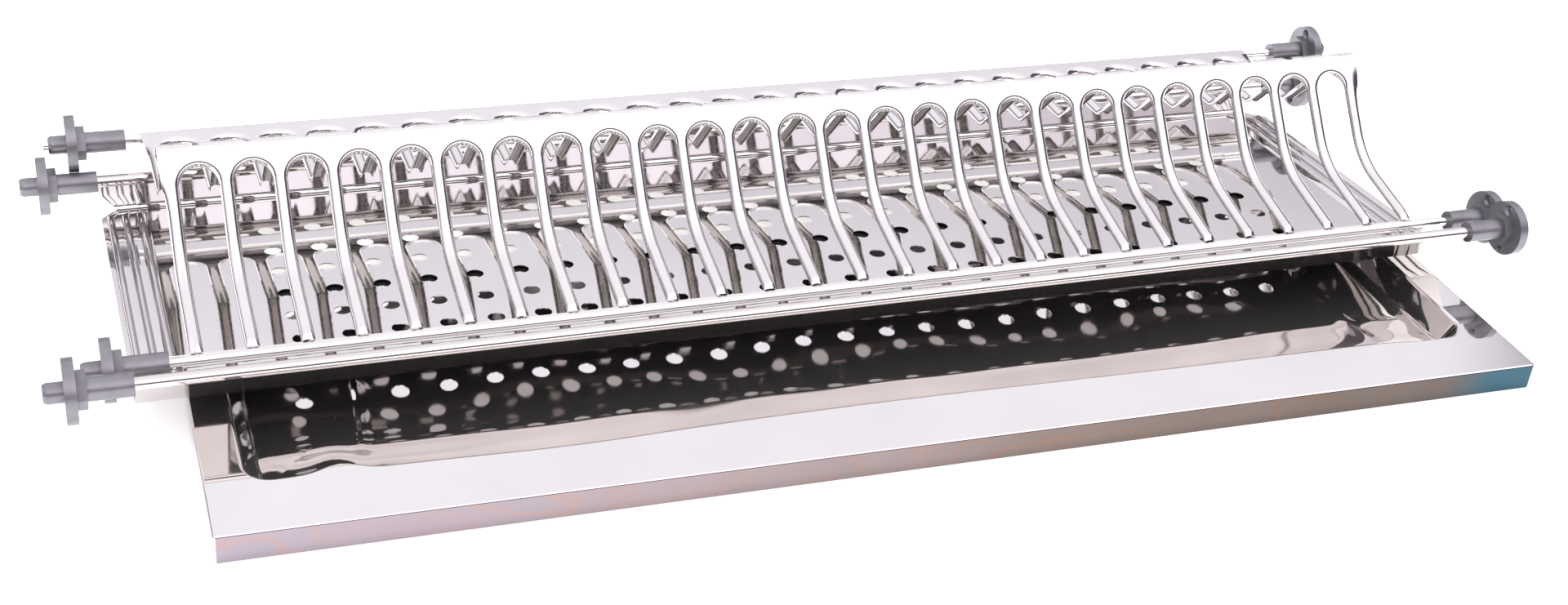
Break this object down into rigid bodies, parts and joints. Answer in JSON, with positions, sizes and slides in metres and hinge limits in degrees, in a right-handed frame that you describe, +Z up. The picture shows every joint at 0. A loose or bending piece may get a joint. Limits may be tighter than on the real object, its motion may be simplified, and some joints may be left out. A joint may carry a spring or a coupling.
{
  "type": "dish drying rack",
  "caption": "Long cabinet dish drying rack set: slotted plate rack on a perforated base rack over a drip tray, hung on steel rods with flanged end fittings",
  "frame": {"origin": "middle of the drip tray's underside, on the ground", "axes": "X along the rods to the right, Y to the back, Z up"},
  "size_m": [0.8982, 0.3744, 0.1073],
  "materials": {
    "sheet_steel": "mirror-polished stainless sheet",
    "rod_steel": "bright drawn stainless rod",
    "fitting_plastic": "satin grey, metallic-looking"
  },
  "bodies": {
    "drip_tray": {"tray_rim": "sheet_steel", "tray_basin": "sheet_steel"},
    "base_rack": {"base_front_wall": "sheet_steel", "base_floor": "sheet_steel", "base_rear_wall": "sheet_steel", "base_margins": "sheet_steel", "base_front_rod": "rod_steel", "base_rear_rod": "rod_steel"},
    "plate_rack": {"plate_front_hem": "sheet_steel", "plate_ramp_ribs": "sheet_steel", "plate_bend_ribs": "sheet_steel", "plate_back_ribs": "sheet_steel", "plate_crest": "sheet_steel", "plate_ridge": "sheet_steel", "plate_steep_ribs": "sheet_steel", "plate_kink_ribs": "sheet_steel", "plate_flat_ribs": "sheet_steel", "plate_rear_hem": "sheet_steel", "plate_front_rod": "rod_steel", "plate_rear_rod": "rod_steel"},
    "base_front_left_fitting": {"base_front_left_fitting": "fitting_plastic"},
    "base_front_right_fitting": {"base_front_right_fitting": "fitting_plastic"},
    "base_rear_left_fitting": {"base_rear_left_fitting": "fitting_plastic"},
    "base_rear_right_fitting": {"base_rear_right_fitting": "fitting_plastic"},
    "plate_front_left_fitting": {"plate_front_left_fitting": "fitting_plastic"},
    "plate_front_right_fitting": {"plate_front_right_fitting": "fitting_plastic"},
    "plate_rear_left_fitting": {"plate_rear_left_fitting": "fitting_plastic"},
    "plate_rear_right_fitting": {"plate_rear_right_fitting": "fitting_plastic"}
  },
  "joints": [
    {"name": "base_rack_lift", "type": "slide", "parent": "drip_tray", "child": "base_rack", "axis": [0, 0, 1], "range_m": [0, 0.06]},
    {"name": "plate_rack_lift", "type": "slide", "parent": "base_rack", "child": "plate_rack", "axis": [0, 0, 1], "range_m": [0, 0.12]},
    {"name": "base_front_left_slide", "type": "slide", "parent": "base_rack", "child": "base_front_left_fitting", "axis": [-1, 0, 0], "range_m": [0, 0.012]},
    {"name": "base_front_right_slide", "type": "slide", "parent": "base_rack", "child": "base_front_right_fitting", "axis": [1, 0, 0], "range_m": [0, 0.012]},
    {"name": "base_rear_left_slide", "type": "slide", "parent": "base_rack", "child": "base_rear_left_fitting", "axis": [-1, 0, 0], "range_m": [0, 0.012]},
    {"name": "base_rear_right_turn", "type": "hinge", "parent": "base_rack", "child": "base_rear_right_fitting", "pos_m": [0.3916, 0.21977, 0.03094], "axis": [1, 0, 0], "range_deg": [-180, 180]},
    {"name": "plate_front_left_slide", "type": "slide", "parent": "plate_rack", "child": "plate_front_left_fitting", "axis": [-1, 0, 0], "range_m": [0, 0.012]},
    {"name": "plate_front_right_slide", "type": "slide", "parent": "plate_rack", "child": "plate_front_right_fitting", "axis": [1, 0, 0], "range_m": [-0.0076, 0.012]},
    {"name": "plate_rear_left_slide", "type": "slide", "parent": "plate_rack", "child": "plate_rear_left_fitting", "axis": [-1, 0, 0], "range_m": [-0.0082, 0.007]},
    {"name": "plate_rear_right_slide", "type": "slide", "parent": "plate_rack", "child": "plate_rear_right_fitting", "axis": [1, 0, 0], "range_m": [0, 0.012]}
  ]
}
